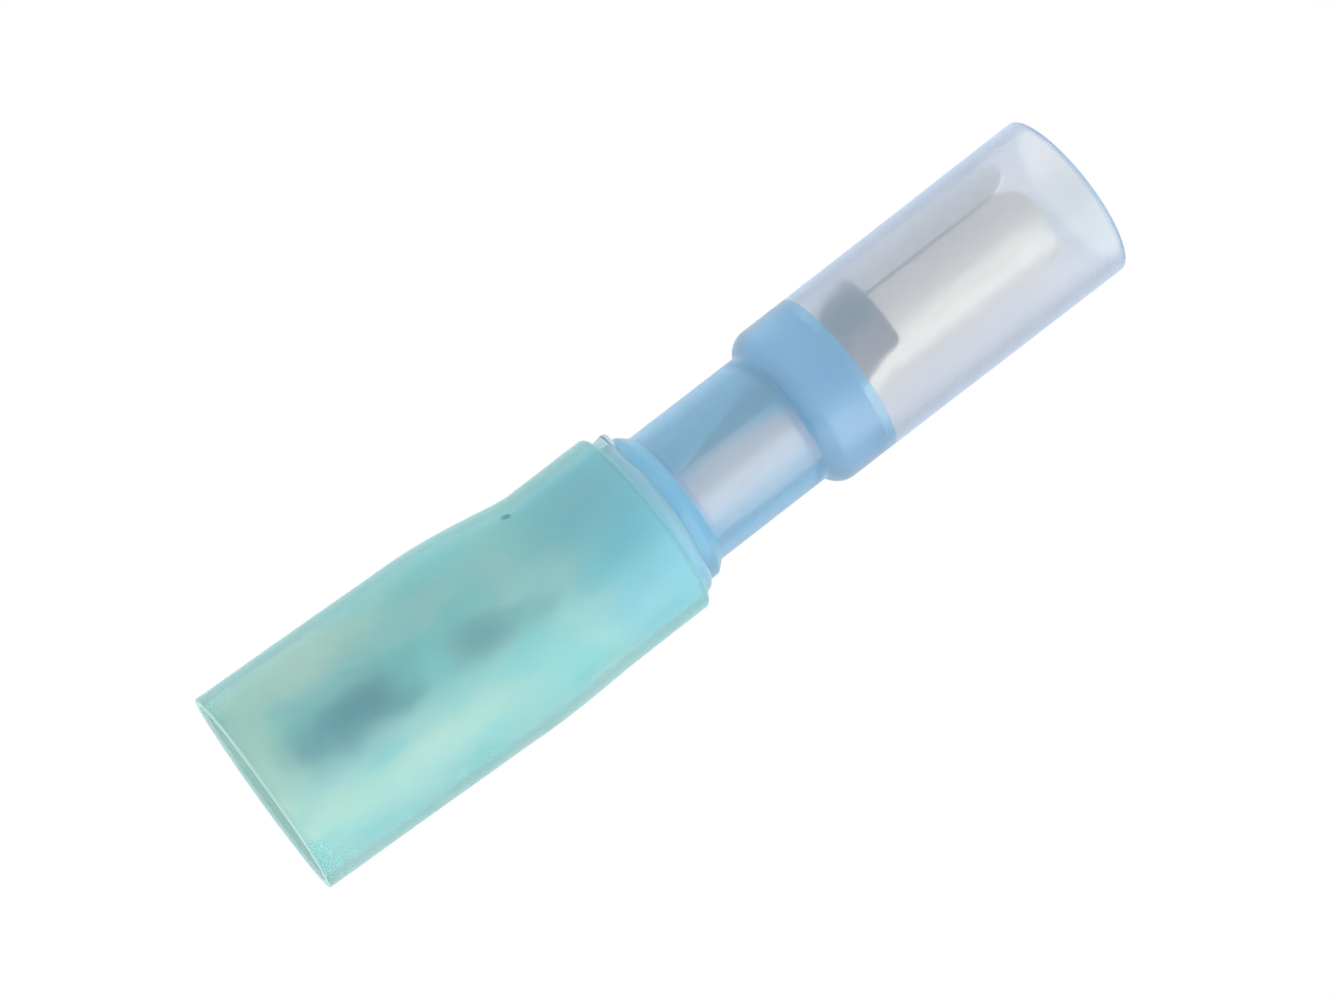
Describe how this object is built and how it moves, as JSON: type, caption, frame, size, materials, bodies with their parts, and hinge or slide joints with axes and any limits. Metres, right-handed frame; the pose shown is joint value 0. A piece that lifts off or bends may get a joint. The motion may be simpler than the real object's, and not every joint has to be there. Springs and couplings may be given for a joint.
{
  "type": "heat shrink round crimp terminal",
  "caption": "Insulated socket terminal for a round plug: rolled tinned contact in a clear blue sleeve, with a glue-lined heat shrink tube over the wire end.",
  "frame": {"origin": "centre of the tube's rear end, on the plane that the terminal stands on", "axes": "+Z along the free tube towards the socket's mouth; the housing leans 2.4 degrees towards -X; -Y is the side with the contact's seam and window"},
  "size_m": [0.0089, 0.0088, 0.0391],
  "materials": {
    "jacket": "translucent turquoise, satin",
    "hot_melt": "milky, soft gloss",
    "sleeve": "translucent pale blue, moulded",
    "tinned_brass": "tin plated, satin"
  },
  "bodies": {
    "root": {"heat_shrink_tube": "jacket", "adhesive_liner": "hot_melt", "housing": "sleeve", "contact": "tinned_brass"}
  },
  "joints": []
}
